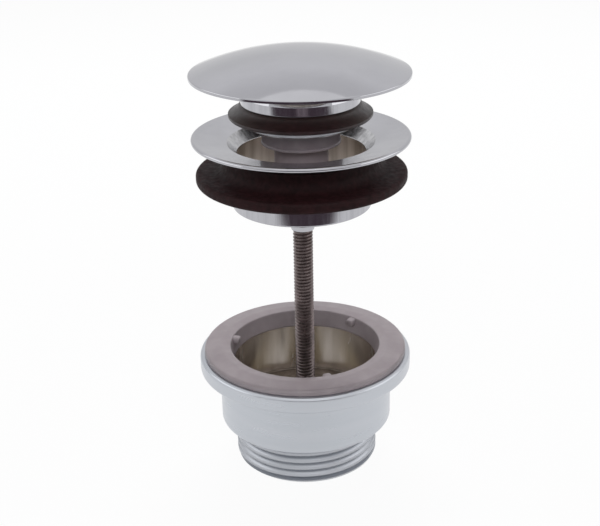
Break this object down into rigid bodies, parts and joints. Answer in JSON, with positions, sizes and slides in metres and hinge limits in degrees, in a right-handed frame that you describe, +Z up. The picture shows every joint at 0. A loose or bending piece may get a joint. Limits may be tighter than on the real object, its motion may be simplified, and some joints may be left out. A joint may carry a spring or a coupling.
{
  "type": "pop-up basin waste",
  "caption": "Push-to-open basin waste with a domed chrome plug, dished strainer, rubber seals, clamp rod and threaded tail body.",
  "frame": {"origin": "centre of the tail's lower end face, at the bottom of the part", "axes": "+Z up along the rod, from the tail towards the plug cap; -Y towards the viewer of the picture"},
  "size_m": [0.0618, 0.0618, 0.123],
  "materials": {
    "bright_chrome": "polished chrome plate on brass",
    "satin_chrome": "satin chrome plate outside, matt nickel inside",
    "bare_brass": "machined brass",
    "dark_steel": "oiled dark zinc on steel",
    "spring_steel": "stainless steel",
    "black_rubber": "matt moulded rubber",
    "grey_gasket": "moulded grey elastomer",
    "grey_plastic": "moulded grey acetal",
    "white_plastic": "moulded natural acetal"
  },
  "bodies": {
    "tail": {"tail_body": "satin_chrome", "tail_spider": "bare_brass", "tail_gasket": "grey_gasket"},
    "strainer": {"strainer": "bright_chrome"},
    "basin_seal": {"basin_seal": "black_rubber"},
    "screw": {"clamp_rod": "dark_steel", "rod_nut": "bright_chrome", "stem_bush": "bare_brass", "stem_washer": "white_plastic", "cartridge_stem": "grey_plastic", "return_spring": "spring_steel"},
    "plug": {"cartridge_sleeve": "grey_plastic", "sleeve_ring": "white_plastic", "plunger": "white_plastic", "cap_stud": "spring_steel", "seal_washer": "spring_steel", "lip_seal": "black_rubber", "seal_carrier": "bright_chrome", "plug_cap": "bright_chrome"},
    "index": {"index_cam": "white_plastic"}
  },
  "joints": [
    {"name": "clamp_travel", "type": "slide", "parent": "tail", "child": "strainer", "axis": [0, 0, 1], "range_m": [-0.046, 0.003]},
    {"name": "screw_turn", "type": "hinge", "parent": "strainer", "child": "screw", "pos_m": [0, 0, 0.04], "axis": [0, 0, 1], "range_deg": [-16570, 1090]},
    {"name": "plug_press", "type": "slide", "parent": "screw", "child": "plug", "axis": [0, 0, 1], "range_m": [-0.0078, 0], "stiffness_N_per_m": 700, "springref_m": 0.006, "deforming": ["return_spring"]},
    {"name": "index_turn", "type": "hinge", "parent": "plug", "child": "index", "pos_m": [0, 0, 0.1], "axis": [0, 0, 1], "range_deg": [-1, 46]},
    {"name": "seal_slide", "type": "slide", "parent": "strainer", "child": "basin_seal", "axis": [0, 0, 1], "range_m": [-0.004, 0.0012]}
  ],
  "couplings": [
    {"joint": "screw_turn", "follows": "clamp_travel", "rad_per_m": 6283.2},
    {"joint": "index_turn", "follows": "plug_press", "rad_per_m": -100.69}
  ]
}
